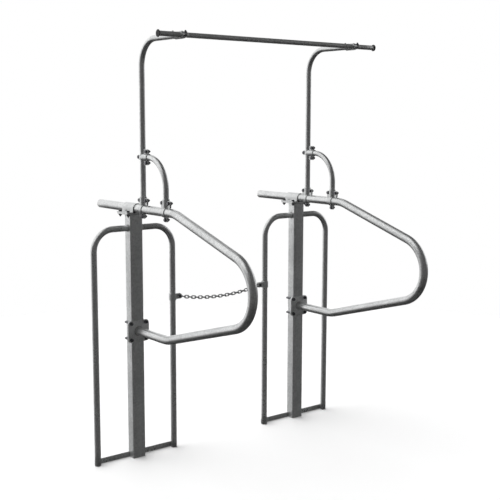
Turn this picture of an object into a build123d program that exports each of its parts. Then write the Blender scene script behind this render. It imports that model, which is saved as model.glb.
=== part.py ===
from build123d import *
import math
import os

# Cattle stall partition: two dividers side by side, tied together by an
# overhead rail and a neck chain. Millimetres.
# X runs along the row of stalls, -Y points into the stall, Z is up.
# The origin is the centre of the left post's foot, on the floor.

# Tubes, by outside diameter and wall
divider_od = 48.3
hoop_od = 35.0
upright_od = 31.8
rail_od = 26.9
tube_wall = 3.0

# Where the two dividers and the rail stand
stall_pitch = 1200.0
divider_height = 1439.0
rail_height = 2350.0
rail_reach = 498.0
rail_overhang_left = 143.0
rail_overhang_right = 158.0

# Post
post_width = 80.0
post_depth = 60.0
post_wall = 3.0
post_corner = 6.0
post_sole = 5.0

# Divider loop
divider_tail = 369.0
upper_bend_reach = 414.0
upper_bend_radius = 250.0
drop_angle = 17.7
lower_height = 745.0
lower_bend_reach = 337.0
lower_bend_radius = 200.0
rise_angle = 15.9
loop_radius = 183.0

# Neck hoop
hoop_width = 510.0
hoop_height = 1329.0
hoop_radius = 120.0

# Foot bar
foot_bar_height = 30.0
foot_bar_thickness = 6.0

# Upright and brace
upright_reach = 106.0
upright_radius = 137.0
brace_reach = 333.0
brace_rise = 286.0
brace_radius = 165.0

# Clearances
fit = 0.2
hole_clearance = 1.0
clamp_seam = 2.0

# Bolts and nuts, M10 and M8
bolt_size = 10.0
bolt_flats = 17.0
bolt_head = 6.4
nut_height = 8.0
bolt_tip = 8.0
small_bolt_size = 8.0
small_bolt_flats = 13.0
small_bolt_head = 5.3
small_nut_height = 6.5
small_bolt_tip = 5.0

# Plate on the post's top, and the saddle over the divider tube
cap_width = 130.0
cap_front = 42.0
cap_back = 74.0
cap_thickness = 8.0
cap_corner = 10.0
saddle_sheet = 5.0
saddle_bolt_side = 50.0
saddle_bolt_margin = 15.0

# Plate and square bolts that hold the lower end of the divider
plate_width = 136.0
plate_height = 124.0
plate_thickness = 8.0
plate_corner = 20.0
u_bolt_side = 48.0
u_bolt_rise = 47.0
u_bolt_radius = 12.0

# Tee clamps of two pressed half shells
shell_sheet = 4.0
strap_width = 28.0
sleeve_length = 46.0
clamp_bolt_side = 31.0
clamp_bolt_lift = 26.0
clamp_bolt_drop = 15.0
clamp_rim = 12.0
clamp_corner = 8.0

# Caps in the ends of the overhead rail
end_cap_lip = 4.0
end_cap_depth = 25.0
end_cap_rim = 5.5

# Neck chain
chain_height = 907.0
chain_wire = 6.0
chain_pitch = 25.0
chain_inside = 10.0
chain_gap = 0.3
chain_slack = 4.0

# Band clamps that carry the chain on the hoops
band_height = 40.0
band_sheet = 4.0
band_ear_gap = 9.0
band_ear_sheet = 5.0
band_pin_reach = 43.0
band_ear_height = 30.0

# Derived places
divider_radius = divider_od / 2
hoop_outer = hoop_od / 2
upright_outer = upright_od / 2
rail_outer = rail_od / 2
cap_top = divider_height - divider_radius - fit
post_height = cap_top - cap_thickness
cap_length = cap_front + cap_back
cap_middle = (cap_back - cap_front) / 2
plate_front = -post_depth / 2 - plate_thickness
brace_height = divider_height + brace_rise
units =(("left", 0.0), ("right", stall_pitch))

os.makedirs("parts", exist_ok=True)


def finish(piece, name):
    """Label one finished piece and write it to its own file."""
    piece.label = name
    export_step(piece, f"parts/{name}.step")


def bent(points, radius):
    """Return a centre line of straight runs with rounded bends between them."""
    with BuildLine() as line:
        FilletPolyline(*points, radius=radius)
    return line.line


def tube_ring(path, outer):
    """Return the ring-shaped section of a tube at the start of its path."""
    with BuildSketch(Plane(origin=path @ 0, z_dir=path % 0)) as ring:
        Circle(outer)
        Circle(outer - tube_wall, mode=Mode.SUBTRACT)
    return ring.sketch


def cope(plane, through):
    """Return the round section that a branch tube's end is cut back to."""
    across = Plane(origin=plane.origin, x_dir=plane.z_dir, z_dir=plane.x_dir)
    with BuildSketch(across) as section:
        Circle(through + fit)
    return section.sketch


def tee_clamp(plane, through, branch):
    """Make two half shells that clamp a branch tube to a through tube.

    They are made about their own origin, with x along the through tube, y along
    the branch and z along the bolts, and are then set down on the plane.
    """
    across = Plane(origin=(0, 0, 0), x_dir=(0, 0, 1), z_dir=(1, 0, 0))
    along = Plane(origin=(0, 0, 0), x_dir=(1, 0, 0), z_dir=(0, 1, 0))
    half = strap_width / 2
    top = through + clamp_bolt_lift + clamp_rim
    low = -through - clamp_bolt_drop - clamp_rim
    wide = clamp_bolt_side + clamp_rim
    flange = clamp_seam / 2 + shell_sheet
    with BuildPart() as shells:
        with BuildSketch() as outline:
            with BuildLine():
                Polyline(
                    (-half, low), (half, low), (half, 0), (wide, through + 3), (wide, top),
                    (-wide, top), (-wide, through + 3), (-half, 0), close=True,
                )
            make_face()
            fillet(outline.vertices(), clamp_corner)
        extrude(amount=flange, both=True)
        with BuildSketch(across):
            Circle(through + shell_sheet)
        extrude(amount=half, both=True)
        with BuildSketch(along):
            Circle(branch + shell_sheet)
        extrude(amount=through + sleeve_length)
        with BuildSketch(across):
            Circle(through + fit)
        extrude(amount=wide + shell_sheet, both=True, mode=Mode.SUBTRACT)
        with BuildSketch(along):
            Circle(branch + fit)
        extrude(amount=through + sleeve_length, mode=Mode.SUBTRACT)
        with BuildSketch():
            with Locations(*clamp_bolt_places(through)):
                Circle((bolt_size + hole_clearance) / 2)
        extrude(amount=flange, both=True, mode=Mode.SUBTRACT)
        with BuildSketch():
            Rectangle(4 * wide, 4 * top)
        extrude(amount=clamp_seam / 2, both=True, mode=Mode.SUBTRACT)
    return plane.from_local_coords(shells.part)


def clamp_bolt_places(through):
    """Two bolts in the corners beside the branch and one behind the tube."""
    lift = through + clamp_bolt_lift
    return [(-clamp_bolt_side, lift), (clamp_bolt_side, lift), (0, -through - clamp_bolt_drop)]


def bolts(plane, places, grip, size=bolt_size, flats=bolt_flats, head=bolt_head,
          nut=nut_height, tip=bolt_tip):
    """Make hexagon bolts with nuts, heads below the plane's grip, nuts above it."""
    with BuildPart() as fasteners:
        with BuildSketch(plane.offset(-grip / 2 - head)):
            with Locations(*places):
                RegularPolygon(flats / 2, 6, major_radius=False)
        extrude(amount=head)
        with BuildSketch(plane.offset(grip / 2)):
            with Locations(*places):
                RegularPolygon(flats / 2, 6, major_radius=False)
        extrude(amount=nut)
        with BuildSketch(plane.offset(-grip / 2)):
            with Locations(*places):
                Circle(size / 2)
        extrude(amount=grip + nut + tip)
    return fasteners.part


def post(x):
    """The box-section post, closed at the foot by a flush sole."""
    with BuildPart() as body:
        with BuildSketch(Plane((x, 0, 0))):
            RectangleRounded(post_width, post_depth, post_corner)
            RectangleRounded(
                post_width - 2 * post_wall, post_depth - 2 * post_wall,
                post_corner - post_wall, mode=Mode.SUBTRACT,
            )
        extrude(amount=post_height)
        with BuildSketch(Plane((x, 0, 0))):
            RectangleRounded(post_width, post_depth, post_corner)
        extrude(amount=post_sole)
    return body.part


def saddle_bolt_places():
    """Four bolts through the saddle's wings."""
    front = -cap_front + saddle_bolt_margin
    back = cap_back - saddle_bolt_margin
    return [(side, y) for side in (-saddle_bolt_side, saddle_bolt_side) for y in (front, back)]


def post_cap(x):
    """The flat plate welded on the post's top, drilled for the saddle's bolts."""
    with BuildPart() as plate:
        with BuildSketch(Plane((x, 0, post_height))):
            with Locations((0, cap_middle)):
                RectangleRounded(cap_width, cap_length, cap_corner)
            with Locations(*saddle_bolt_places()):
                Circle((bolt_size + hole_clearance) / 2, mode=Mode.SUBTRACT)
        extrude(amount=cap_thickness)
    return plate.part


def saddle(x):
    """The pressed half shell over the divider tube, with a wing on each side."""
    outer = divider_radius + saddle_sheet
    section = Plane((x, cap_back, divider_height), x_dir=(1, 0, 0), z_dir=(0, -1, 0))
    wing = cap_top - divider_height
    with BuildPart() as shell:
        with BuildSketch(section):
            Circle(outer)
            with Locations((0, wing)):
                Rectangle(2 * outer, -wing, align=(Align.CENTER, Align.MIN))
            with Locations((0, wing)):
                Rectangle(4 * outer, 2 * outer, align=(Align.CENTER, Align.MAX), mode=Mode.SUBTRACT)
            with Locations((0, wing)):
                Rectangle(cap_width, saddle_sheet, align=(Align.CENTER, Align.MIN))
            Circle(divider_radius + fit, mode=Mode.SUBTRACT)
            with Locations((0, wing)):
                Rectangle(
                    2 * (divider_radius + fit), -wing,
                    align=(Align.CENTER, Align.MIN), mode=Mode.SUBTRACT,
                )
        extrude(amount=cap_length)
        with BuildSketch(Plane((x, 0, cap_top))):
            with Locations(*saddle_bolt_places()):
                Circle((bolt_size + hole_clearance) / 2)
        extrude(amount=saddle_sheet, mode=Mode.SUBTRACT)
    return shell.part


def saddle_bolts(x):
    """Bolts down through the saddle's wings and the cap plate."""
    grip = saddle_sheet + cap_thickness
    middle = post_height + grip / 2
    down = Plane((x, 0, middle), x_dir=(1, 0, 0), z_dir=(0, 0, -1))
    places = [(a, -b) for a, b in saddle_bolt_places()]
    return bolts(down, places, grip)


def neck_hoop(x):
    """The inverted U that the neck passes, in two halves welded to the post."""
    halves = []
    for side in (-1, 1):
        corners = [
            (x + side * post_width / 2, 0, hoop_height),
            (x + side * hoop_width / 2, 0, hoop_height),
            (x + side * hoop_width / 2, 0, 0),
        ]
        halves.append(bent(corners, hoop_radius))
    with BuildPart() as hoop:
        for path in halves:
            sweep(sections=tube_ring(path, hoop_outer), path=path)
    return hoop.part


def foot_bar(x):
    """Flat bars on edge behind the legs, from each leg to the post."""
    front = hoop_outer + fit
    with BuildPart() as bars:
        for side in (-1, 1):
            inner = side * post_width / 2
            outer = side * (hoop_width / 2 + hoop_outer / 2)
            with BuildSketch(Plane((x, front, 0))):
                with Locations(((inner + outer) / 2, foot_bar_thickness / 2)):
                    Rectangle(abs(outer - inner), foot_bar_thickness)
            extrude(amount=foot_bar_height)
    return bars.part


def divider(x):
    """The divider tube: tail over the post, sloping run, round nose, lower run."""
    drop = math.tan(math.radians(drop_angle))
    rise = math.tan(math.radians(rise_angle))
    spread = drop + rise
    gap = divider_height - lower_height
    nose = (gap + drop * upper_bend_reach + rise * lower_bend_reach) / spread
    nose_height = divider_height - drop * (nose - upper_bend_reach)
    corners = [
        (x, divider_tail, divider_height),
        (x, -upper_bend_reach, divider_height),
        (x, -nose, nose_height),
        (x, -lower_bend_reach, lower_height),
        (x, plate_front, lower_height),
    ]
    path = bent(corners, [upper_bend_radius, loop_radius, lower_bend_radius])
    with BuildPart() as loop:
        sweep(sections=tube_ring(path, divider_radius), path=path)
    return loop.part


def divider_plate(x):
    """The plate on the divider's lower end, flat on the post's front face."""
    face = Plane((x, -post_depth / 2, lower_height), x_dir=(1, 0, 0), z_dir=(0, -1, 0))
    with BuildPart() as plate:
        with BuildSketch(face):
            RectangleRounded(plate_width, plate_height, plate_corner)
            with GridLocations(2 * u_bolt_side, 2 * u_bolt_rise, 2, 2):
                Circle((bolt_size + hole_clearance) / 2, mode=Mode.SUBTRACT)
        extrude(amount=plate_thickness)
    return plate.part


def u_bolts(x):
    """Two square bolts round the back of the post, with their nuts on the plate."""
    back = post_depth / 2 + fit + bolt_size / 2
    tip = plate_front - nut_height - bolt_tip
    paths = []
    for height in (lower_height - u_bolt_rise, lower_height + u_bolt_rise):
        corners = [
            (x - u_bolt_side, tip, height),
            (x - u_bolt_side, back, height),
            (x + u_bolt_side, back, height),
            (x + u_bolt_side, tip, height),
        ]
        paths.append(bent(corners, u_bolt_radius))
    with BuildPart() as rods:
        for path in paths:
            with BuildSketch(Plane(origin=path @ 0, z_dir=path % 0)):
                Circle(bolt_size / 2)
            sweep(path=path)
        with BuildSketch(Plane((x, plate_front, lower_height), x_dir=(1, 0, 0), z_dir=(0, -1, 0))):
            with GridLocations(2 * u_bolt_side, 2 * u_bolt_rise, 2, 2):
                RegularPolygon(bolt_flats / 2, 6, major_radius=False)
        extrude(amount=nut_height)
    return rods.part


def upright_foot(x):
    return Plane((x, -upright_reach, divider_height), x_dir=(0, 1, 0), z_dir=(1, 0, 0))


def brace_foot(x):
    return Plane((x, -brace_reach, divider_height), x_dir=(0, 1, 0), z_dir=(1, 0, 0))


def brace_head(x):
    return Plane((x, -upright_reach, brace_height), x_dir=(0, 0, 1), z_dir=(1, 0, 0))


def rail_seat(x):
    return Plane((x, -rail_reach, rail_height), x_dir=(1, 0, 0), z_dir=(0, 0, 1))


def upright(x):
    """The upright: coped on the divider, bent over at the top, coped on the rail."""
    corners = [
        (x, -upright_reach, divider_height),
        (x, -upright_reach, rail_height),
        (x, -rail_reach, rail_height),
    ]
    path = bent(corners, upright_radius)
    with BuildPart() as pole:
        sweep(sections=tube_ring(path, upright_outer), path=path)
        extrude(cope(upright_foot(x), divider_radius), amount=2 * divider_radius, both=True, mode=Mode.SUBTRACT)
        extrude(cope(rail_seat(x), rail_outer), amount=2 * upright_outer, both=True, mode=Mode.SUBTRACT)
    return pole.part


def brace(x):
    """The curved brace from the upright down to the divider."""
    corners = [
        (x, -upright_reach, brace_height),
        (x, -brace_reach, brace_height),
        (x, -brace_reach, divider_height),
    ]
    path = bent(corners, brace_radius)
    with BuildPart() as curve:
        sweep(sections=tube_ring(path, upright_outer), path=path)
        extrude(cope(brace_head(x), upright_outer), amount=2 * upright_outer, both=True, mode=Mode.SUBTRACT)
        extrude(cope(brace_foot(x), divider_radius), amount=2 * divider_radius, both=True, mode=Mode.SUBTRACT)
    return curve.part


def overhead_rail():
    """The straight rail that ties the uprights together."""
    length = rail_overhang_left + stall_pitch + rail_overhang_right
    start = Plane((-rail_overhang_left, -rail_reach, rail_height), x_dir=(0, 1, 0), z_dir=(1, 0, 0))
    with BuildPart() as rail:
        with BuildSketch(start):
            Circle(rail_outer)
            Circle(rail_outer - tube_wall, mode=Mode.SUBTRACT)
        extrude(amount=length)
    return rail.part


def rail_end_caps():
    """Push-in caps at both ends of the rail: a rim outside, a plug inside."""
    ends = ((-rail_overhang_left, -1), (stall_pitch + rail_overhang_right, 1))
    with BuildPart() as caps:
        for x, side in ends:
            outward = Plane((x, -rail_reach, rail_height), x_dir=(0, 1, 0), z_dir=(side, 0, 0))
            with BuildSketch(outward):
                Circle(rail_outer + end_cap_rim)
            extrude(amount=end_cap_lip)
            with BuildSketch(outward):
                Circle(rail_outer - tube_wall - fit)
            extrude(amount=-end_cap_depth)
    return caps.part


def chain_path():
    """Hang the chain between its two pins; return the arc's middle, radius and links."""
    left = hoop_width / 2 + band_pin_reach
    right = stall_pitch - left
    chord = right - left
    step = chain_pitch - chain_gap
    lead = chain_pitch / 2 - small_bolt_size / 2 - chain_gap
    # An odd number, so that the first and the last link both stand upright
    count = 2 * math.ceil((chord + chain_slack - 2 * lead) / (2 * step)) + 1
    length = 2 * lead + (count - 1) * step
    # An arc of this length over this chord: arc = 2 r a, chord = 2 r sin a
    low, high = 1e-4, 1.5
    for _ in range(60):
        middle = (low + high) / 2
        if math.sin(middle) / middle > chord / length:
            low = middle
        else:
            high = middle
    radius = length / 2 / low
    centre = ((left + right) / 2, chain_height + radius * math.cos(low))
    turns = [-low + (lead + i * step) / radius for i in range(count)]
    return centre, radius, turns


def chain_link(flat):
    """Return the centre line of one link, lying in its own plane."""
    bend = (chain_inside + chain_wire) / 2
    straight = (chain_pitch + chain_wire) / 2 - bend
    with BuildLine(flat) as loop:
        Line((0, bend), (straight, bend))
        ThreePointArc((straight, bend), (straight + bend, 0), (straight, -bend))
        Line((straight, -bend), (-straight, -bend))
        ThreePointArc((-straight, -bend), (-straight - bend, 0), (-straight, bend))
        Line((-straight, bend), (0, bend))
    return loop.line


def neck_chain():
    """The chain of round-wire links, each turned a quarter against the last."""
    (middle, top), radius, turns = chain_path()
    loops = []
    for i, turn in enumerate(turns):
        place = Vector(middle + radius * math.sin(turn), 0, top - radius * math.cos(turn))
        ahead = Vector(math.cos(turn), 0, math.sin(turn))
        normal = Vector(0, 1, 0) if i % 2 == 0 else Vector(-math.sin(turn), 0, math.cos(turn))
        loops.append(chain_link(Plane(origin=place, x_dir=ahead, z_dir=normal)))
    with BuildPart() as chain:
        for loop in loops:
            with BuildSketch(Plane(origin=loop @ 0, z_dir=loop % 0)):
                Circle(chain_wire / 2)
            sweep(path=loop)
    return chain.part


def chain_band(x, side):
    """A slit band round the hoop's leg, with two ears that the chain's pin passes."""
    outer = hoop_outer + band_sheet
    ear_end = band_pin_reach + small_bolt_size * 1.5
    level = Plane((x, 0, chain_height))
    with BuildPart() as band:
        with BuildSketch(level):
            Circle(outer)
        extrude(amount=band_height / 2, both=True)
        with BuildSketch(level):
            with Locations((side * ear_end / 2, 0)):
                Rectangle(ear_end, band_ear_gap + 2 * band_ear_sheet)
        extrude(amount=band_ear_height / 2, both=True)
        with BuildSketch(level):
            Circle(hoop_outer + fit)
            with Locations((side * ear_end, 0)):
                Rectangle(2 * ear_end, band_ear_gap)
        extrude(amount=band_height / 2, both=True, mode=Mode.SUBTRACT)
        with BuildSketch(Plane((x, 0, chain_height), x_dir=(1, 0, 0), z_dir=(0, -1, 0))):
            with Locations((side * band_pin_reach, 0)):
                Circle((small_bolt_size + hole_clearance) / 2)
        extrude(amount=outer, both=True, mode=Mode.SUBTRACT)
    return band.part


def chain_pin(x, side):
    """The bolt that draws the band tight and that the chain hangs on."""
    plane = Plane((x, 0, chain_height), x_dir=(1, 0, 0), z_dir=(0, 1, 0))
    grip = band_ear_gap + 2 * band_ear_sheet
    return bolts(plane, [(side * band_pin_reach, 0)], grip, small_bolt_size, small_bolt_flats,
                 small_bolt_head, small_nut_height, small_bolt_tip)


clamp_grip = clamp_seam + 2 * shell_sheet
for unit, x in units:
    finish(post(x), f"{unit}_post")
    finish(post_cap(x), f"{unit}_post_cap")
    finish(saddle(x), f"{unit}_saddle")
    finish(saddle_bolts(x), f"{unit}_saddle_bolts")
    finish(neck_hoop(x), f"{unit}_neck_hoop")
    finish(foot_bar(x), f"{unit}_foot_bar")
    finish(divider(x), f"{unit}_divider")
    finish(divider_plate(x), f"{unit}_divider_plate")
    finish(u_bolts(x), f"{unit}_u_bolts")
    finish(upright(x), f"{unit}_upright")
    finish(brace(x), f"{unit}_brace")
    for name, plane, through in (
        ("upright_foot", upright_foot(x), divider_radius),
        ("brace_foot", brace_foot(x), divider_radius),
        ("brace_head", brace_head(x), upright_outer),
        ("rail", rail_seat(x), rail_outer),
    ):
        finish(tee_clamp(plane, through, upright_outer), f"{unit}_{name}_clamp")
        finish(bolts(plane, clamp_bolt_places(through), clamp_grip), f"{unit}_{name}_bolts")

finish(overhead_rail(), "overhead_rail")
finish(rail_end_caps(), "rail_end_caps")
finish(neck_chain(), "neck_chain")
for unit, x, side in (("left", hoop_width / 2, 1), ("right", stall_pitch - hoop_width / 2, -1)):
    finish(chain_band(x, side), f"{unit}_chain_band")
    finish(chain_pin(x, side), f"{unit}_chain_pin")
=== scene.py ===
# %% [markdown]
# # Dressing a galvanised cattle stall partition
#
# The part is a frame of bent steel tube that was dipped in molten zinc. This
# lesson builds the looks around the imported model, one kind of piece at a time:
# tubes, box posts, plates, pressed clamps, bolts, welds and the chain. Each
# piece stands where the model has it, so nothing is fitted by eye.

import math

import bmesh
import bpy
from mathutils import Euler, Matrix, Vector


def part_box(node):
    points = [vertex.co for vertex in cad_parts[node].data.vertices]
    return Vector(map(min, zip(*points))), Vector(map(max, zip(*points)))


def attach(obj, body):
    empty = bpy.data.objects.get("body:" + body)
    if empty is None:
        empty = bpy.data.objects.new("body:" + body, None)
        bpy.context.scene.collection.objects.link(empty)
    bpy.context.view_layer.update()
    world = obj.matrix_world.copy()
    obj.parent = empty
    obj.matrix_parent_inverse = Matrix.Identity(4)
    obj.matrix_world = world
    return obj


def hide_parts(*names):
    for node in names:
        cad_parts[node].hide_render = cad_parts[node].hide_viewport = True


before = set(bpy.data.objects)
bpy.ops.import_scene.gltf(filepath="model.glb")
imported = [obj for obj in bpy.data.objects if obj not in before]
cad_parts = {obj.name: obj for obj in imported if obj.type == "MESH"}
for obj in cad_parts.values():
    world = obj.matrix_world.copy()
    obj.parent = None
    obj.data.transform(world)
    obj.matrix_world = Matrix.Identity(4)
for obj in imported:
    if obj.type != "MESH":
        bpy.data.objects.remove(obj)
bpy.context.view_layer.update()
MM = 0.001

# %% [markdown]
# ## The camera
#
# A photograph fixes where its camera stood. Straight tubes give away the
# vanishing points, and known tube sizes give the distance. Those were worked
# out beforehand, so the camera is simply placed: a position, a turn about the
# vertical, a tilt down and a very slight roll.

# %% Place the camera
camera_place = Vector((-2.699, -4.489, 1.926))
camera_turn = math.radians(-38.15)
camera_tilt = math.radians(7.91)
camera_roll = math.radians(0.14)
focal_in_pixels = 935.3
frame_pixels = 500


def add_object(name, data):
    """Make an object and put it in the scene."""
    made = bpy.data.objects.new(name, data)
    bpy.context.scene.collection.objects.link(made)
    return made


camera_data = bpy.data.cameras.new("camera")
camera_data.sensor_width = 36.0
camera_data.lens = focal_in_pixels / frame_pixels * camera_data.sensor_width
camera_data.clip_end = 100.0
camera = add_object("camera", camera_data)
turn = Euler((math.pi / 2 - camera_tilt, 0, camera_turn)).to_matrix()
roll = Matrix.Rotation(camera_roll, 3, "Z")
camera.matrix_world = Matrix.Translation(camera_place) @ (turn @ roll).to_4x4()
bpy.context.scene.camera = camera
print("lens", round(camera_data.lens, 1), "mm")

# %% [markdown]
# ## Sizes
#
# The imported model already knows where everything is, so most sizes are read
# from the boxes round its nodes. A box can't tell a bend radius or where a
# straight run ends, so those few are named here, in millimetres, and turned
# into metres once.

# %% Sizes that a box can't tell
mm = {
    # tubes, box section and the play between parts
    "divider_od": 48.3, "hoop_od": 35.0, "upright_od": 31.8, "rail_od": 26.9, "wall": 3.0,
    "post_wall": 3.0, "post_corner": 6.0, "post_sole": 5.0, "fit": 0.2,
    # where the divider's straight runs meet, and the bend radii
    "upper_reach": 414.0, "lower_reach": 337.0, "upper_radius": 250.0, "lower_radius": 200.0,
    "nose_radius": 183.0, "hoop_radius": 120.0, "upright_radius": 137.0, "brace_radius": 165.0,
    # bolts, and the smaller ones of the chain bands
    "bolt": 10.0, "flats": 17.0, "head": 6.4, "nut": 8.0, "tip": 8.0,
    "small_bolt": 8.0, "small_flats": 13.0, "small_head": 5.3, "small_nut": 6.5, "small_tip": 5.0,
    # plates and pressings: where their bolts sit and how much they grip
    "saddle_sheet": 5.0, "saddle_side": 50.0, "saddle_margin": 15.0, "clamp_grip": 10.0,
    "clamp_side": 31.0, "clamp_lift": 26.0, "clamp_drop": 15.0, "u_side": 48.0, "u_rise": 47.0,
    "u_radius": 12.0, "plate_corner": 20.0, "cap_corner": 10.0, "bar": 6.0,
    # caps of the rail, and the chain with its pins
    "lip": 4.0, "plug": 25.0, "wire": 6.0, "pitch": 25.0, "inside": 10.0, "gap": 0.3,
    "slack": 4.0, "pin_reach": 43.0, "ear_grip": 19.0,
}
size = {name: value * MM for name, value in mm.items()}
drop_slope = math.tan(math.radians(17.7))
rise_slope = math.tan(math.radians(15.9))
print("sizes", len(size), "slopes", round(drop_slope, 3), round(rise_slope, 3))

# %% Places that the boxes give
post_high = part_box("left_post")[1]
rail_low, rail_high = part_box("overhead_rail")
hoop_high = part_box("left_neck_hoop")[1]
divider_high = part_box("left_divider")[1]
plate_low, plate_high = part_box("left_divider_plate")
cap_low, cap_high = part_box("left_post_cap")
upright_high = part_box("left_upright")[1]
brace_low, brace_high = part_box("left_brace")
band_low, band_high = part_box("left_chain_band")
right_low, right_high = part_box("right_post")

pitch = (right_low[0] + right_high[0]) / 2
units = (("left", 0.0), ("right", pitch))
divider_height = divider_high[2] - size["divider_od"] / 2
lower_height = (plate_low[2] + plate_high[2]) / 2
hoop_height = hoop_high[2] - size["hoop_od"] / 2
hoop_half = hoop_high[0] - size["hoop_od"] / 2
post_half = post_high[0]
plate_front = plate_low[1]
upright_reach = -upright_high[1] + size["upright_od"] / 2
rail_reach = -(rail_low[1] + rail_high[1]) / 2
rail_height = (rail_low[2] + rail_high[2]) / 2
brace_reach = -brace_low[1] - size["upright_od"] / 2
brace_height = brace_high[2] - size["upright_od"] / 2
chain_height = (band_low[2] + band_high[2]) / 2
print("pitch", round(pitch, 3), "rail", round(rail_height, 3), "brace", round(brace_reach, 3),
      round(brace_height, 3), "upright", round(upright_reach, 4), "chain", round(chain_height, 3))

# %% [markdown]
# ## The studio
#
# Bare zinc is a mirror, though a blurred one, so it shows the room more than
# itself. In the photograph the background is pure white and the tops of the
# tubes are almost white, but most sides and all undersides are nearly black. So
# the room has a white wall behind the stall, a soft box overhead and a white
# panel at the right. The rest of it is dark, and darkest below.
#
# A world shader can be that room: it looks at the direction of each ray. The
# camera sees white everywhere. Rays that come off steel see white only where
# the wall, the soft box or the panel stands, because white all round would wash
# the steel out. One soft sun gives the shadow on the floor. It is kept out of
# the mirrors too, where it would be one broad glare.

# %% Small helpers for nodes
def add_node(tree, kind, **settings):
    """Add a node and set its properties."""
    node = tree.nodes.new(kind)
    for name, value in settings.items():
        setattr(node, name, value)
    return node


def feed(tree, value, socket):
    """Link a socket to an input, or set the input to a plain value."""
    if isinstance(value, bpy.types.NodeSocket):
        tree.links.new(value, socket)
    else:
        socket.default_value = value


def compute(tree, operation, *values):
    """Add a Math node; each value is a number or a socket."""
    node = add_node(tree, "ShaderNodeMath", operation=operation)
    for index, value in enumerate(values):
        feed(tree, value, node.inputs[index])
    return node.outputs[0]


def combine(tree, operation, first, second):
    """Add a Vector Math node; the second value is a vector, a number or a socket."""
    node = add_node(tree, "ShaderNodeVectorMath", operation=operation)
    tree.links.new(first, node.inputs[0])
    feed(tree, second, node.inputs["Scale" if operation == "SCALE" else 1])
    return node.outputs["Value" if operation == "DOT_PRODUCT" else "Vector"]


def remap(tree, value, low, high, to_low=0.0, to_high=1.0):
    """Add a Map Range node that runs smoothly from one range to another."""
    node = add_node(tree, "ShaderNodeMapRange", interpolation_type="SMOOTHSTEP")
    tree.links.new(value, node.inputs["Value"])
    ends = {"From Min": low, "From Max": high, "To Min": to_low, "To Max": to_high}
    for name, number in ends.items():
        node.inputs[name].default_value = number
    return node.outputs["Result"]


# %% Where a mirror sees white
# A pair says where white begins and where it is full, in a direction of length 1.
wall_side, wall_foot = (0.32, 0.82), (-0.50, 0.12)
wall_turn, wall_turn_higher = -0.10, -0.18
soft_box_way, soft_box_edge = Vector((-0.60, 0.25, 0.76)).normalized(), (0.80, 0.95)
panel_side, panel_foot = (0.80, 0.95), (-0.04, 0.12)

world = bpy.data.worlds.new("studio")
world.use_nodes = True
tree = world.node_tree
way = tree.nodes.new("ShaderNodeTexCoord").outputs["Generated"]
split = tree.nodes.new("ShaderNodeSeparateXYZ")
tree.links.new(way, split.inputs[0])
along, back, upward = split.outputs
lean = compute(tree, "MULTIPLY_ADD", upward, wall_turn_higher, wall_turn)
facing = compute(tree, "ADD", back, compute(tree, "MULTIPLY", along, lean))
wall = compute(tree, "MULTIPLY", remap(tree, facing, *wall_side), remap(tree, upward, *wall_foot))
soft_box = remap(tree, combine(tree, "DOT_PRODUCT", way, soft_box_way), *soft_box_edge)
panel = compute(tree, "MULTIPLY", remap(tree, along, *panel_side), remap(tree, upward, *panel_foot))
white = compute(tree, "MAXIMUM", compute(tree, "MAXIMUM", wall, soft_box), panel)
print("soft box towards", [round(v, 2) for v in soft_box_way])

# %% Show the room to each kind of ray
wall_level, room_level, pit_level = 1.0, 0.085, 0.022
pit_edge = (-0.65, -0.30)

dark = remap(tree, upward, *pit_edge, pit_level, room_level)
room = compute(tree, "ADD", compute(tree, "MULTIPLY", white, wall_level), dark)
path = tree.nodes.new("ShaderNodeLightPath")
mirrored = compute(tree, "ADD", path.outputs["Is Glossy Ray"], path.outputs["Is Transmission Ray"])
seen = compute(tree, "MULTIPLY", mirrored, white)
seen = compute(tree, "MINIMUM", compute(tree, "ADD", path.outputs["Is Camera Ray"], seen), 1.0)
shown = tree.nodes.new("ShaderNodeMix")
tree.links.new(seen, shown.inputs["Factor"])
tree.links.new(room, shown.inputs["A"])
shown.inputs["B"].default_value = 1.0
background = tree.nodes["Background"]
background.inputs["Color"].default_value = (1, 1, 1, 1)
tree.links.new(shown.outputs["Result"], background.inputs["Strength"])
bpy.context.scene.world = world
bpy.context.scene.view_settings.view_transform = "Standard"
print("room levels", wall_level, room_level, pit_level)

# %% Hang the soft sun
sun_data = bpy.data.lights.new("soft sun", "SUN")
sun_data.energy = 3.0
sun_data.angle = math.radians(100)
sun = add_object("soft sun", sun_data)
sun.rotation_euler = (math.radians(-38), math.radians(-20), 0)
sun.visible_glossy = False
print("sun", sun_data.energy)

# %% [markdown]
# ## The floor
#
# A round sheet of pale floor carries the shadows. Lit plainly it would be grey,
# so it glows a little for the camera alone, which lifts it to the white of the
# background and leaves the shadow where it was. The undersides of the steel in
# the photograph mirror a dark room and no floor, so this floor is kept out of
# mirrors.

# %% Lay the floor
floor_radius, floor_middle = 4.5, (pitch / 2, -0.4, -0.5 * MM)
floor_pale, camera_lift = 0.85, 0.14

floor_mesh = bpy.data.meshes.new("floor")
shape = bmesh.new()
bmesh.ops.create_circle(shape, cap_ends=True, segments=96, radius=floor_radius)
bmesh.ops.translate(shape, verts=shape.verts, vec=floor_middle)
shape.to_mesh(floor_mesh)
shape.free()
floor = add_object("floor", floor_mesh)
floor.visible_glossy = False

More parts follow.
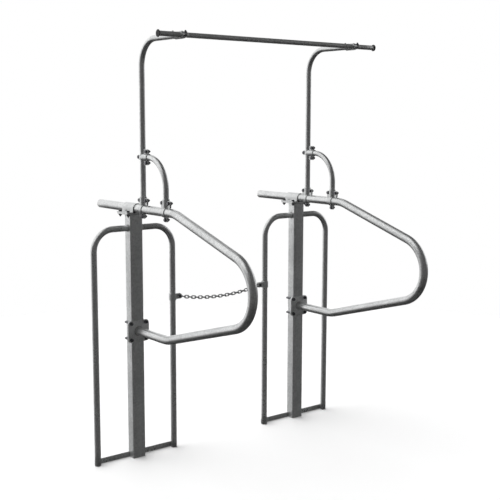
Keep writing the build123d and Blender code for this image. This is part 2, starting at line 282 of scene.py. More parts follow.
floor_material = bpy.data.materials.new("pale floor")
floor_material.use_nodes = True
tree = floor_material.node_tree
shader = tree.nodes["Principled BSDF"]
shader.inputs["Base Color"].default_value = (floor_pale, floor_pale, floor_pale, 1)
shader.inputs["Roughness"].default_value = 0.9
shader.inputs["Specular IOR Level"].default_value = 0.0
shader.inputs["Emission Color"].default_value = (1, 1, 1, 1)
path = tree.nodes.new("ShaderNodeLightPath")
lift = compute(tree, "MULTIPLY", path.outputs["Is Camera Ray"], camera_lift)
tree.links.new(lift, shader.inputs["Emission Strength"])
floor_mesh.materials.append(floor_material)
print("floor radius", floor_radius, "m")

# %% [markdown]
# ## Finishes as node groups
#
# Hot-dip galvanising leaves frost-like crystals, the spangle. Each crystal
# lies at its own slight angle, so it is a little lighter or darker than its
# neighbours. A Voronoi texture is made of such cells. Its random colour gives
# the tone, and a ramp across each cell, tilted by that same colour, gives a
# height from which a Bump node turns every crystal its own way.

# %% Helpers for groups and textures
def start_group(name, numbers, outputs):
    """Start a node group fed by a vector and some numbers; return its tree and end nodes."""
    tree = bpy.data.node_groups.new(name, "ShaderNodeTree")
    tree.interface.new_socket("Vector", in_out="INPUT", socket_type="NodeSocketVector")
    for label, value in numbers.items():
        socket = tree.interface.new_socket(label, in_out="INPUT", socket_type="NodeSocketFloat")
        socket.default_value = value
    for label in outputs:
        tree.interface.new_socket(label, in_out="OUTPUT", socket_type="NodeSocketFloat")
    return tree, tree.nodes.new("NodeGroupInput"), tree.nodes.new("NodeGroupOutput")


def put(tree, kind, vector, numbers, **settings):
    """Add a texture or a group, feed it its vector and set its numbers."""
    node = add_node(tree, kind, **settings)
    tree.links.new(vector, node.inputs["Vector"])
    for label, number in numbers.items():
        node.inputs[label].default_value = number
    return node


def shrink(tree, vector, feature_size):
    """Scale a vector so that a texture's features come out at a given size."""
    return combine(tree, "SCALE", vector, compute(tree, "DIVIDE", 1.0, feature_size))


# %% Spangle: crystals of zinc
wander_scale, wander_reach = 160.0, 0.004
crystal_share, frost_share, frost_scale = 0.6, 0.4, 3.3
middle = (0.5, 0.5, 0.5)

spangle, given, result = start_group(
    "zinc spangle", {"Crystal Size": 0.008, "Contrast": 1.0}, ["Tone", "Height"])
tree = spangle
place, contrast = given.outputs["Vector"], given.outputs["Contrast"]
wander = put(tree, "ShaderNodeTexNoise", place, {"Scale": wander_scale})
shift = combine(tree, "SUBTRACT", wander.outputs["Color"], middle)
bent_place = combine(tree, "ADD", place, combine(tree, "SCALE", shift, wander_reach))
scaled = shrink(tree, bent_place, given.outputs["Crystal Size"])
cells = put(tree, "ShaderNodeTexVoronoi", scaled, {"Scale": 1.0})
frost = put(tree, "ShaderNodeTexVoronoi", scaled, {"Scale": frost_scale})
big = add_node(tree, "ShaderNodeSeparateColor")
small = add_node(tree, "ShaderNodeSeparateColor")
tree.links.new(cells.outputs["Color"], big.inputs[0])
tree.links.new(frost.outputs["Color"], small.inputs[0])
blend = compute(tree, "ADD", compute(tree, "MULTIPLY", big.outputs[0], crystal_share),
                compute(tree, "MULTIPLY", small.outputs[1], frost_share))
centred = compute(tree, "MULTIPLY", compute(tree, "SUBTRACT", blend, 0.5), contrast)
tree.links.new(compute(tree, "ADD", centred, 0.5), result.inputs["Tone"])
from_centre = combine(tree, "SUBTRACT", scaled, cells.outputs["Position"])
lean = combine(tree, "SUBTRACT", cells.outputs["Color"], middle)
ramp = combine(tree, "DOT_PRODUCT", from_centre, lean)
tree.links.new(compute(tree, "MULTIPLY", ramp, contrast), result.inputs["Height"])
print("group", spangle.name, len(spangle.nodes), "nodes")

# %% [markdown]
# Zinc dulls with weather. Broad clouds of carbonate turn it matt, rain leaves
# pale runs down the steel, and the dip itself leaves small lumps where the last
# drops froze. Noise textures of different stretch give all three, and the group
# puts them out as masks, so that each finish can use as much as it needs.

# %% Weathering: clouds, runs and lumps
weathering, given, result = start_group(
    "zinc weathering", {"Cloud Size": 0.12, "Run Width": 0.012}, ["Clouds", "Runs", "Lumps"])
tree = weathering
for label, stretch, spread, detail, start in (
    ("Clouds", 0.6, "Cloud Size", 4.0, 0.35),
    ("Runs", 0.07, "Run Width", 3.0, 0.45),
    ("Lumps", 0.5, "Run Width", 1.5, 0.45),
):
    stretched = combine(tree, "MULTIPLY", given.outputs["Vector"], (1.0, 1.0, stretch))
    noise = put(tree, "ShaderNodeTexNoise", shrink(tree, stretched, given.outputs[spread]),
                {"Scale": 1.0, "Detail": detail, "Roughness": 0.55})
    tree.links.new(remap(tree, noise.outputs[0], start, 0.72), result.inputs[label])
print("group", weathering.name, len(weathering.nodes), "nodes")

# %% [markdown]
# Corners that hands, halters and spanners touch are rubbed bright. Inside
# corners are darkened with painted shade. Geometry's Pointiness tells a corner
# from a hollow, and noise breaks the line up so that the wear isn't a drawn edge.

# %% Edge wear, and painted shade in hollows
corner_range, hollow_range, patch_range = (0.505, 0.56), (0.43, 0.495), (0.35, 0.62)

edge_wear_and_hollow_shade, given, result = start_group(
    "edge wear and hollow shade", {"Patch Size": 0.01, "Amount": 0.7}, ["Edges", "Hollows"])
tree = edge_wear_and_hollow_shade
point = add_node(tree, "ShaderNodeNewGeometry").outputs["Pointiness"]
noise = put(tree, "ShaderNodeTexNoise",
            shrink(tree, given.outputs["Vector"], given.outputs["Patch Size"]),
            {"Scale": 1.0, "Detail": 4.0})
patches = remap(tree, noise.outputs[0], *patch_range)
rubbed = compute(tree, "MULTIPLY", remap(tree, point, *corner_range), patches)
# Painted shade: this mask darkens inside corners.
hollow = remap(tree, point, *hollow_range, 1.0, 0.0)
for label, mask in (("Edges", rubbed), ("Hollows", hollow)):
    tree.links.new(compute(tree, "MULTIPLY", mask, given.outputs["Amount"]), result.inputs[label])
print("group", edge_wear_and_hollow_shade.name, len(edge_wear_and_hollow_shade.nodes), "nodes")

# %% [markdown]
# ## Steel finishes
#
# All the steel is one recipe: a metal whose colour swings between two tones
# with the crystals, dulled by the clouds, paler in the runs, bright at the
# worn edges and darker in the hollows, which is painted shade. Each finish is
# that recipe with its own numbers: fine bright crystals on tube, larger dull
# ones on the box posts, a plainer skin on pressings, a smooth dark plating on
# bolts and a mid-grey one on the chain.

# %% Helpers for a finish
def mix_colours(tree, factor, first, second):
    """Mix two colours; each is a colour or a socket."""
    node = add_node(tree, "ShaderNodeMix", data_type="RGBA")
    tree.links.new(factor, node.inputs["Factor"])
    for socket, value in ((node.inputs[6], first), (node.inputs[7], second)):
        feed(tree, (*value, 1) if isinstance(value, tuple) else value, socket)
    return node.outputs[2]


def start_finish(name):
    """Start a material; return it with its tree, its shader and the place on the object."""
    material = bpy.data.materials.new(name)
    material.use_nodes = True
    tree = material.node_tree
    place = tree.nodes.new("ShaderNodeTexCoord").outputs["Object"]
    return material, tree, tree.nodes["Principled BSDF"], place


def raise_surface(tree, shader, height, strength, distance):
    """Tilt the surface by a height through a Bump node."""
    bump = add_node(tree, "ShaderNodeBump")
    bump.inputs["Strength"].default_value = strength
    bump.inputs["Distance"].default_value = distance
    tree.links.new(height, bump.inputs["Height"])
    tree.links.new(bump.outputs["Normal"], shader.inputs["Normal"])


# %% One recipe for zinc
def zinc(name, light, shade, rough, crystal, contrast, cloud=0.25, run=0.2, wear_and_shade=0.6, bump=0.25,
         lumps=0.3, metal=0.9):
    """Make a zinc-coated steel finish from the three groups."""
    material, tree, shader, place = start_finish(name)
    shader.inputs["Metallic"].default_value = metal
    crystals = put(tree, "ShaderNodeGroup", place, {"Crystal Size": crystal, "Contrast": contrast},
                   node_tree=spangle)
    weather = put(tree, "ShaderNodeGroup", place, {}, node_tree=weathering)
    wear_and_shade_masks = put(tree, "ShaderNodeGroup", place, {"Amount": wear_and_shade}, node_tree=edge_wear_and_hollow_shade)
    tone, clouds = crystals.outputs["Tone"], weather.outputs["Clouds"]
    dull = tuple(value * 0.80 for value in shade)
    # Painted shade: hollows are darkened to under half the dark tone.
    painted_hollow_shade = tuple(value * 0.45 for value in shade)
    pale = tuple(min(value * 1.10, 0.95) for value in light)
    colour = mix_colours(tree, tone, shade, light)
    for mask, over in (
        (compute(tree, "MULTIPLY", clouds, cloud), dull),
        (compute(tree, "MULTIPLY", weather.outputs["Runs"], run), pale),
        (wear_and_shade_masks.outputs["Edges"], pale),
        (wear_and_shade_masks.outputs["Hollows"], painted_hollow_shade),
    ):
        colour = mix_colours(tree, mask, colour, over)
    tree.links.new(colour, shader.inputs["Base Color"])
    roughness = rough
    for mask, change in ((tone, -0.12), (clouds, 0.12), (wear_and_shade_masks.outputs["Edges"], -0.10)):
        roughness = compute(tree, "MULTIPLY_ADD", mask, change, roughness)
    tree.links.new(roughness, shader.inputs["Roughness"])
    height = compute(tree, "MULTIPLY_ADD", weather.outputs["Lumps"], lumps,
                     crystals.outputs["Height"])
    raise_surface(tree, shader, height, bump, 0.8 * MM)
    return material


# %% Mix the zinc finishes
finish = {
    "galvanised_tube": zinc("galvanised tube", (0.88, 0.89, 0.89), (0.64, 0.65, 0.65),
                            0.36, 0.007, 1.1, metal=0.95),
    "galvanised_box": zinc("galvanised box section", (0.80, 0.81, 0.81), (0.60, 0.61, 0.61),
                           0.42, 0.011, 1.0, cloud=0.35),
    "pressed_clamps": zinc("galvanised pressing", (0.82, 0.83, 0.83), (0.60, 0.61, 0.61),
                           0.40, 0.005, 0.8, cloud=0.2, wear_and_shade=0.8),
    "zinc_fasteners": zinc("zinc plated bolt", (0.17, 0.17, 0.18), (0.06, 0.06, 0.07),
                           0.30, 0.003, 0.7, cloud=0.3, run=0.0, wear_and_shade=0.9, bump=0.12),
    "chain_steel": zinc("zinc plated chain wire", (0.52, 0.52, 0.53), (0.30, 0.30, 0.31),
                        0.36, 0.003, 0.7, cloud=0.3, run=0.0, wear_and_shade=0.8, bump=0.12),
    "weld": zinc("galvanised weld", (0.58, 0.58, 0.58), (0.34, 0.34, 0.34),
                 0.50, 0.003, 1.0, cloud=0.4, run=0.1, wear_and_shade=0.5, bump=0.4),
}
print("finishes", sorted(finish))

# %% [markdown]
# The caps in the rail's ends are moulded plastic: nearly black, matt, with the
# fine grain of the mould. A metal recipe would be wrong here, so this one is
# short and its own.

# %% Black plastic
plastic, tree, shader, place = start_finish("black moulded plastic")
grain = put(tree, "ShaderNodeTexNoise", place, {"Scale": 900.0, "Detail": 3.0}).outputs[0]
black = mix_colours(tree, grain, (0.012, 0.012, 0.012), (0.028, 0.028, 0.028))
tree.links.new(black, shader.inputs["Base Color"])
tree.links.new(remap(tree, grain, 0.3, 0.7, 0.50, 0.66), shader.inputs["Roughness"])
raise_surface(tree, shader, grain, 0.2, 0.3 * MM)
finish["black_plastic"] = plastic
print("plastic", plastic.name)

# %% [markdown]
# ## Skins from rings of points
#
# Nearly every piece here is a section carried along a line: a ring of points,
# moved and turned, joined to the next ring by quads. One small function does
# the joining, and one makes the finished piece, gives it its finish and hides
# the node it stands for.

# %% Join rings and make pieces
def skin(rings, wrap=False):
    """Join rings of points with quads; close the ends, or wrap round to the start."""
    count = len(rings[0])
    points = [point for ring in rings for point in ring]
    faces = []
    for i in range(len(rings) if wrap else len(rings) - 1):
        here, there = i * count, (i + 1) % len(rings) * count
        for j in range(count):
            k = (j + 1) % count
            faces.append((here + j, here + k, there + k, there + j))
    if not wrap:
        faces.append(tuple(range(count - 1, -1, -1)))
        faces.append(tuple(range(len(points) - count, len(points))))
    return points, faces


def set_finish(piece, look, nodes):
    """Smooth a piece, give it its finish, hang it from the root body and hide the nodes it stands
    for.
    """
    piece.data.shade_smooth()
    piece.data.set_sharp_from_angle(angle=math.radians(38))
    piece.data.materials.clear()
    piece.data.materials.append(finish[look])
    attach(piece, "root")
    if nodes:
        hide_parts(*nodes)


def make_piece(name, parts, look, nodes=()):
    """Make one object of several skins."""
    points, faces = [], []
    for part_points, part_faces in parts:
        first = len(points)
        points.extend(part_points)
        faces.extend(tuple(first + index for index in face) for face in part_faces)
    mesh = bpy.data.meshes.new(name)
    mesh.from_pydata(points, [], faces)
    shape = bmesh.new()
    shape.from_mesh(mesh)
    bmesh.ops.recalc_face_normals(shape, faces=shape.faces)
    shape.to_mesh(mesh)
    shape.free()
    piece = add_object(name, mesh)
    set_finish(piece, look, nodes)
    return piece


# %% [markdown]
# ## Bent tubes
#
# A tube bender leaves straight runs joined by arcs. The line is worked out
# from its corners and bend radii, then a ring is set at each station, square to
# the line. The real tube flattens a little in a bend, so the rings there are
# pulled in a touch. A sawn end has a soft rim, and a branch that meets another
# tube is coped: its edge follows the round it sits on.

# %% The line of a tube
def stations_along(corners, radii, turn_step=4.0, spacing=0.08):
    """Return (point, direction, how far into a bend) along runs joined by arcs."""
    corners = [Vector(corner) for corner in corners]
    stations = []

    def straight(start, end, way):
        steps = max(1, round((end - start).length / spacing))
        for i in range(steps + 1):
            stations.append((start.lerp(end, i / steps), way, 0.0))

    start = corners[0]
    for i, radius in enumerate(radii, 1):
        way = (corners[i] - corners[i - 1]).normalized()
        onward = (corners[i + 1] - corners[i]).normalized()
        angle = way.angle(onward)
        setback = radius * math.tan(angle / 2)
        bend_start = corners[i] - way * setback
        straight(start, bend_start, way)
        inward = (onward - way * way.dot(onward)).normalized()
        centre = bend_start + inward * radius
        steps = max(3, math.ceil(math.degrees(angle) / turn_step))
        for k in range(1, steps):
            a = angle * k / steps
            point = centre - inward * math.cos(a) * radius + way * math.sin(a) * radius
            amount = min(1.0, 2.5 * min(k, steps - k) / steps)
            stations.append((point, way * math.cos(a) + inward * math.sin(a), amount))
        start = corners[i] + onward * setback
    last = (corners[-1] - corners[-2]).normalized()
    straight(start, corners[-1], last)
    return stations


# %% The skin of a tube
X, Y, Z = (Vector(way) for way in ((1, 0, 0), (0, 1, 0), (0, 0, 1)))


def tube(stations, across, outer, inner, start_cope=None, end_cope=None, sides=48):
    """Skin a tube inside and out; a cope is the axis and radius of the tube it meets."""
    soft, flattened = 0.7 * MM, 0.03

    def ring(station, radius, inward=0.0, cope=None, towards=1.0):
        point, way, bend = station
        up = way.cross(across)
        points = []
        for i in range(sides):
            a = math.tau * i / sides
            squeeze = 1 - flattened * bend
            offset = across * math.cos(a) * radius + up * math.sin(a) * radius * squeeze
            depth = inward
            if cope:
                aside = offset.dot(way.cross(cope[0]))
                depth += math.sqrt(max(cope[1] ** 2 - aside ** 2, 0.0))
            points.append(point + offset + way * depth * towards)
        return points

    def rim(station, cope, towards):
        rings = [(outer, soft), (outer - 0.3 * soft, 0.3 * soft), (outer - soft, 0.0),
                 (inner + soft, 0.0), (inner + 0.3 * soft, 0.3 * soft), (inner, soft)]
        return [ring(station, radius, depth, cope, towards) for radius, depth in rings]

    middle = stations[1:-1]
    rings = [ring(s, outer) for s in middle]
    rings += rim(stations[-1], end_cope, -1.0)
    rings += [ring(s, inner) for s in reversed(middle)]
    rings += reversed(rim(stations[0], start_cope, 1.0))
    return skin(rings, wrap=True)


# %% Dividers
def divider_line(x):
    """The divider's line: tail, sloping run, nose, rising run, foot on its plate."""
    gap = divider_height - lower_height
    rise = gap + drop_slope * size["upper_reach"] + rise_slope * size["lower_reach"]
    nose = rise / (drop_slope + rise_slope)
    nose_height = divider_height - drop_slope * (nose - size["upper_reach"])
    corners = [
        (x, divider_high[1], divider_height), (x, -size["upper_reach"], divider_height),
        (x, -nose, nose_height), (x, -size["lower_reach"], lower_height),
        (x, plate_front, lower_height),
    ]
    radii = [size["upper_radius"], size["nose_radius"], size["lower_radius"]]
    return stations_along(corners, radii)


for unit, x in units:
    outer = size["divider_od"] / 2
    skins = [tube(divider_line(x), X, outer, outer - size["wall"], sides=64)]
    piece = make_piece(f"{unit}_divider_tube", skins, "galvanised_tube", [f"{unit}_divider"])
    print(piece.name, len(piece.data.polygons), "faces")

# %% Uprights and braces
branch = size["upright_od"] / 2
on_divider = (Y, size["divider_od"] / 2 + size["fit"])
on_rail = (X, size["rail_od"] / 2 + size["fit"])
on_upright = (Z, branch + size["fit"])
bent_branches = {
    "upright": ([(-upright_reach, divider_height), (-upright_reach, rail_height),
                 (-rail_reach, rail_height)], on_divider, on_rail),
    "brace": ([(-upright_reach, brace_height), (-brace_reach, brace_height),
               (-brace_reach, divider_height)], on_upright, on_divider),
}
for unit, x in units:
    for kind, (corners, *copes) in bent_branches.items():
        line = stations_along([(x, y, z) for y, z in corners], [size[f"{kind}_radius"]])
        skins = [tube(line, X, branch, branch - size["wall"], *copes)]
        make_piece(f"{unit}_{kind}_tube", skins, "galvanised_tube", [f"{unit}_{kind}"])
print("brace above the divider", round(brace_height - divider_height, 3), "m")

# %% The overhead rail
rail_ends = [(end, -rail_reach, rail_height) for end in (rail_low[0], rail_high[0])]
outer = size["rail_od"] / 2
skins = [tube(stations_along(rail_ends, []), Z, outer, outer - size["wall"])]
make_piece("overhead_rail_tube", skins, "galvanised_tube", ["overhead_rail"])
print("rail", round(rail_high[0] - rail_low[0], 3), "m")

# %% Neck hoops
for unit, x in units:
    outer = size["hoop_od"] / 2
    skins = []
    for side in (-1, 1):
        line = stations_along(
            [(x + side * post_half, 0, hoop_height), (x + side * hoop_half, 0, hoop_height),
             (x + side * hoop_half, 0, 0)],
            [size["hoop_radius"]],
        )
        skins.append(tube(line, Y, outer, outer - size["wall"]))
    make_piece(f"{unit}_neck_hoop_tube", skins, "galvanised_tube", [f"{unit}_neck_hoop"])
print("hoop height", round(hoop_height, 3))

# %% [markdown]
# ## Posts and plates
#
# Rolled box section has rounded corners, and a sheared plate has edges that are
# broken by the zinc. Both are stacks of rounded rectangles. Each is the same
# outline drawn a little smaller at the edge, so that light catches a soft line.

# %% Rounded outlines
def rounded_rectangle(width, height, corner, steps=6):
    """Return the points of a rectangle with rounded corners."""
    points = []
    for quarter, (sx, sy) in enumerate(((1, 1), (-1, 1), (-1, -1), (1, -1))):
        cx, cy = sx * (width / 2 - corner), sy * (height / 2 - corner)
        for i in range(steps + 1):
            a = math.pi / 2 * (quarter + i / steps)
            points.append((cx + corner * math.cos(a), cy + corner * math.sin(a)))
    return points


def axes(origin, x_way, z_way):
    """Return the matrix of a place with its own x and z directions."""
    ways = Matrix((x_way, z_way.cross(x_way), z_way)).transposed().to_4x4()
    return Matrix.Translation(Vector(origin)) @ ways


def stack(place, width, height, corner, levels):
    """Skin a stack of rounded rectangles; a level is (height up, how far drawn in)."""
    rings = []
    for up, inset in levels:
        outline = rounded_rectangle(width - 2 * inset, height - 2 * inset,
                                    max(corner - inset, 0.2 * MM))
        rings.append([place @ Vector((px, py, up)) for px, py in outline])
    return skin(rings)


def plate(place, width, height, corner, thickness, soft=0.8 * MM):
    """A flat plate with broken edges, standing on its place."""
    levels = [(0.0, soft), (0.3 * soft, 0.3 * soft), (soft, 0.0),
              (thickness - soft, 0.0), (thickness - 0.3 * soft, 0.3 * soft), (thickness, soft)]
    return stack(place, width, height, corner, levels)


# %% The skin of a box post
def box_post(x, soft=0.7 * MM):
    """A post of box section, hollow down to its sole."""
    wall, top = size["post_wall"], post_high[2]
    levels = [(0.0, soft), (soft, 0.0)] + [(top * i / 16, 0.0) for i in range(1, 16)]
    levels += [(top - soft, 0.0), (top, soft), (top, wall - soft), (top - soft, wall),
               (size["post_sole"], wall)]
    return stack(axes((x, 0, 0), X, Z), 2 * post_half, 2 * post_high[1], size["post_corner"],
                 levels)


# %% Posts, cap plates, divider plates and foot bars
for unit, x in units:
    make_piece(f"{unit}_box_post", [box_post(x)], "galvanised_box", [f"{unit}_post"])

    cap_wide, cap_deep, cap_thick = (high - low for low, high in zip(cap_low, cap_high))
    cap = plate(axes((x, (cap_low[1] + cap_high[1]) / 2, cap_low[2]), X, Z),
                cap_wide, cap_deep, size["cap_corner"], cap_thick)
    make_piece(f"{unit}_cap_plate", [cap], "galvanised_box", [f"{unit}_post_cap"])

    foot_wide, foot_thick, foot_high = (high - low for low, high in zip(plate_low, plate_high))
    foot = plate(axes((x, plate_high[1], lower_height), X, -Y),
                 foot_wide, foot_high, size["plate_corner"], foot_thick)
    make_piece(f"{unit}_divider_foot_plate", [foot], "pressed_clamps", [f"{unit}_divider_plate"])

    bar_low, bar_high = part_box(f"{unit}_foot_bar")
    bars = []
    for inner, outer in ((x - post_half, bar_low[0]), (x + post_half, bar_high[0])):
        place = axes(((inner + outer) / 2, bar_high[1], (bar_low[2] + bar_high[2]) / 2), X, -Y)
        bars.append(plate(place, abs(outer - inner), bar_high[2] - bar_low[2], 1.0 * MM,
                          size["bar"]))
    make_piece(f"{unit}_foot_flat_bar", bars, "galvanised_tube", [f"{unit}_foot_bar"])
print("post", round(post_high[2], 3), "m high, divider plate", round(foot_wide, 3), "by",
      round(foot_high, 3), "m")

# %% [markdown]
# ## Pressed saddles, tee clamps and chain bands
#
# These are pressed from sheet: a saddle over the divider tube with its feet
# turned out as wings, two half shells round each pair of crossing tubes, and a
# band round the hoop's leg. Every edge and corner of a pressing is soft. Their
# solids have the right shape but sharp edges. A copy of the solid is rebuilt
# with even, small faces by a voxel remesh, rubbed smooth, and then thinned out
# again where it is plain. The solid itself isn't touched.

# %% Soften copies of the solids
def softened(name, node, look, voxel=1.0 * MM, keep=0.22):
    """Make a soft-edged piece from a copy of a node's mesh."""
    source = add_object(name + "_source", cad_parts[node].data.copy())
    remesh = source.modifiers.new("even faces", "REMESH")
    remesh.mode = "VOXEL"
    remesh.voxel_size = voxel
    rub = source.modifiers.new("rub smooth", "SMOOTH")
    rub.factor = 0.5
    rub.iterations = 7
    thin = source.modifiers.new("thin out", "DECIMATE")
    thin.ratio = keep
    evaluated = source.evaluated_get(bpy.context.evaluated_depsgraph_get())
    mesh = bpy.data.meshes.new_from_object(evaluated)
    mesh.name = name
    bpy.data.objects.remove(source)
    piece = add_object(name, mesh)
    set_finish(piece, look, [node])
    return piece


for unit, _ in units:
    for kind in ("upright_foot", "brace_foot", "brace_head", "rail"):
        shells = softened(f"{unit}_{kind}_shells", f"{unit}_{kind}_clamp", "pressed_clamps")
    softened(f"{unit}_pressed_saddle", f"{unit}_saddle", "pressed_clamps", 1.2 * MM, 0.15)
    band = softened(f"{unit}_pressed_chain_band", f"{unit}_chain_band", "pressed_clamps", 0.8 * MM)
    print(unit, "clamp faces", len(shells.data.polygons), "band faces", len(band.data.polygons))

# %% [markdown]
# ## Bolts, nuts and washers
#
# A hexagon bolt is turned and then cut to six flats, and that is how it is
# made here: a profile is spun about the bolt's axis, but no point may reach
# past the flats. The cone at the top then leaves the curved corners that every
# real nut has. The thread is a radius that swings with height and angle, which
# winds it round the bolt.

# %% Turned parts and threads
THREAD_PITCH = 1.5 * MM
THREAD_DEPTH = 0.09  # of the bolt's diameter


def turned(place, profile, flats=None, sides=36):
    """Spin (height, radius) pairs about a place's z axis, cut back to a hexagon if asked."""
    rings = []
    for up, radius in profile:
        ring = []
        for i in range(sides):
            a = math.tau * i / sides
            reach = radius
            if flats:
                reach = min(radius, flats / 2 / math.cos(a % (math.pi / 3) - math.pi / 6))
            ring.append(place @ Vector((reach * math.cos(a), reach * math.sin(a), up)))
        rings.append(ring)
    return skin(rings)


def threaded(place, start, end, radius, sides=20):
    """A threaded end with a small cone at its tip."""
    rings = []
    tip_radius = radius * 0.78
    steps = math.ceil((end - start) / THREAD_PITCH * 5)
    for i in range(steps + 1):
        up = start + (end - start) * i / steps
        ring = []
        for j in range(sides):
            a = math.tau * j / sides
            groove = 0.5 - 0.5 * math.cos(math.tau * (up / THREAD_PITCH) - a)
            reach = min(radius - groove * THREAD_DEPTH * radius * 2, tip_radius + (end - up))
            ring.append(place @ Vector((reach * math.cos(a), reach * math.sin(a), up)))
        rings.append(ring)
    return skin(rings)


# %% Hexagons, washers and a whole bolt
# Three radii and the height of the cone, as shares of the width over the flats.
HEX_CORNER, HEX_SHOULDER, HEX_FACE, HEX_CONE = 0.5775, 0.525, 0.475, 0.055


def hexagon(place, start, end, flats, cone_start, cone_end):
    """A hexagon prism; either end may have its corners turned off."""
    cone = HEX_CONE * flats * (1 if end > start else -1)
    plain = [(0.0, HEX_CORNER)]
    turned_off = [(0.0, HEX_FACE), (0.5, HEX_SHOULDER), (1.0, HEX_CORNER)]
    profile = [(start + cone * along, flats * share)
               for along, share in (turned_off if cone_start else plain)]
    profile += [(end - cone * along, flats * share)
                for along, share in reversed(turned_off if cone_end else plain)]
    return turned(place, profile, flats)


def washer(place, start, radius, thickness):
    """A plain washer with soft edges."""
    soft = math.copysign(0.25 * MM, thickness)
    end, rim = start + thickness, radius - 0.3 * MM
    return turned(place, [(start, rim), (start + soft, radius), (end - soft, radius), (end, rim)])


def bolt(place, grip, prefix=""):
    """A hexagon bolt with washers and a nut; the head is below the grip, the nut above."""
    wide = size[prefix + "bolt"]
    flats, head = size[prefix + "flats"], size[prefix + "head"]
    nut, tip = size[prefix + "nut"], size[prefix + "tip"]
    shim = 0.16 * wide
    half = grip / 2
    end = half + nut + tip
    return [
        washer(place, -half, wide, -shim),
        hexagon(place, -half - shim, -half - shim - head, flats, False, True),
        washer(place, half, wide, shim),
        hexagon(place, half + shim, half + shim + nut, flats, True, True),
        turned(place, [(-half, wide / 2), (half + nut, wide / 2)], sides=20),
        threaded(place, half + nut, end, wide / 2),
    ]


# %% Bolt the clamps and the saddles
def clamp_places(through):
    """Two bolts beside the branch and one behind the through tube."""
    lift = through + size["clamp_lift"]
    side = size["clamp_side"]
    return [(-side, lift), (side, lift), (0, -through - size["clamp_drop"])]


def spin(index):
    """Turn each bolt to its own angle, as spanners leave them."""
    return Matrix.Rotation(math.radians(37 * index % 60), 4, "Z")


divider_half, rail_half = size["divider_od"] / 2, size["rail_od"] / 2
seats = {
    "upright_foot": ((-upright_reach, divider_height), (Y, X), divider_half),
    "brace_foot": ((-brace_reach, divider_height), (Y, X), divider_half),
    "brace_head": ((-upright_reach, brace_height), (Z, X), branch),
    "rail": ((-rail_reach, rail_height), (X, Z), rail_half),
}
for unit, x in units:
    for kind, (middle, ways, through) in seats.items():
        seat = axes((x, *middle), *ways)
        skins = []
        for index, (u, v) in enumerate(clamp_places(through)):
            place = seat @ Matrix.Translation((u, v, 0)) @ spin(index + len(kind))
            skins += bolt(place, size["clamp_grip"])
        make_piece(f"{unit}_{kind}_bolt_set", skins, "zinc_fasteners", [f"{unit}_{kind}_bolts"])
    grip = size["saddle_sheet"] + cap_high[2] - cap_low[2]
    margin, height = size["saddle_margin"], cap_low[2] + grip / 2
    skins = []
    for across in (x - size["saddle_side"], x + size["saddle_side"]):
        for y in (cap_low[1] + margin, cap_high[1] - margin):
            place = axes((across, y, height), X, -Z)
            skins += bolt(place @ spin(len(skins)), grip)
    make_piece(f"{unit}_saddle_bolt_set", skins, "zinc_fasteners", [f"{unit}_saddle_bolts"])
print("bolts in a saddle set", len(skins) // 6)

# %% [markdown]
# ## Square bolts round the post
#
# A rod is bent into a square U, passed round the back of the post, and its
# two threaded ends come through the plate. The bent part is a line with two
# bends again, but a solid rod has no inner skin.

# %% Square bolts
def circle(centre, side, other, radius, steps):
    """Points round a centre, in the plane of two directions."""
    angles = [math.tau * i / steps for i in range(steps)]
    return [centre + (side * math.cos(a) + other * math.sin(a)) * radius for a in angles]


def rod(stations, across, radius, sides=20):
    """Skin a solid round rod along its stations."""
    return skin([circle(point, across, way.cross(across), radius, sides)
                 for point, way, _ in stations])


radius, shim = size["bolt"] / 2, 1.6 * MM
back = post_high[1] + size["fit"] + radius
reach = plate_front - size["nut"]
for unit, x in units:
    left, right = x - size["u_side"], x + size["u_side"]
    skins = []
    for height in (lower_height - size["u_rise"], lower_height + size["u_rise"]):
        corners = [(left, reach, height), (left, back, height), (right, back, height),
                   (right, reach, height)]
        line = stations_along(corners, [size["u_radius"]] * 2, turn_step=9.0)
        skins.append(rod(line, Z, radius))
        for side in (left, right):
            place = axes((side, plate_front, height), X, -Y) @ spin(len(skins))
            skins.append(washer(place, 0.0, size["bolt"], shim))
            skins.append(hexagon(place, shim, shim + size["nut"], size["flats"], True, True))
            skins.append(threaded(place, size["nut"], size["nut"] + size["tip"], radius))
    make_piece(f"{unit}_square_bolts", skins, "zinc_fasteners", [f"{unit}_u_bolts"])
print("nuts on a post", 2 * len((left, right)))

# %% [markdown]
# ## Welds
#
# Where the real frame is welded there is a bead of frozen ripples, dulled by
# the dip. A bead is a thin round rod laid along the joint. Its radius swings
# every few millimetres, and that is all a ripple needs.

# %% A bead and the lines it follows
def bead(points, across, radius, closed=True, ripple=3.4 * MM, sides=10):
    """Skin a rippled weld bead along a flat line of points."""
    count = len(points)
    rings, run = [], 0.0
    for i, point in enumerate(points):
        before = points[i - 1] if closed or i else point
        after = points[(i + 1) % count] if closed or i + 1 < count else point
        way = (after - before).normalized()
        run += (point - before).length
        swing = abs(math.sin(math.pi * run / ripple))
        here = radius * (0.84 + 0.22 * swing + 0.05 * math.sin(run * 311.0))
        if not closed:
            here *= min(1.0, 0.35 + min(i, count - 1 - i) / 5)
        rings.append(circle(point, across, way.cross(across), here, sides))
    return skin(rings, wrap=closed)


def collar(centre, across, radius, steps):
    """Points round a tube's end, which faces along a direction."""
    side = across.orthogonal().normalized()
    return circle(Vector(centre), side, across.cross(side), radius, steps)


def upright_joint(x, y, low=2 * MM, high=28 * MM, step=0.9 * MM):
    """Points up the joint beside a foot bar."""
    count = max(6, round((high - low) / step))
    return [Vector((x, y, low)).lerp(Vector((x, y, high)), i / count) for i in range(count + 1)]


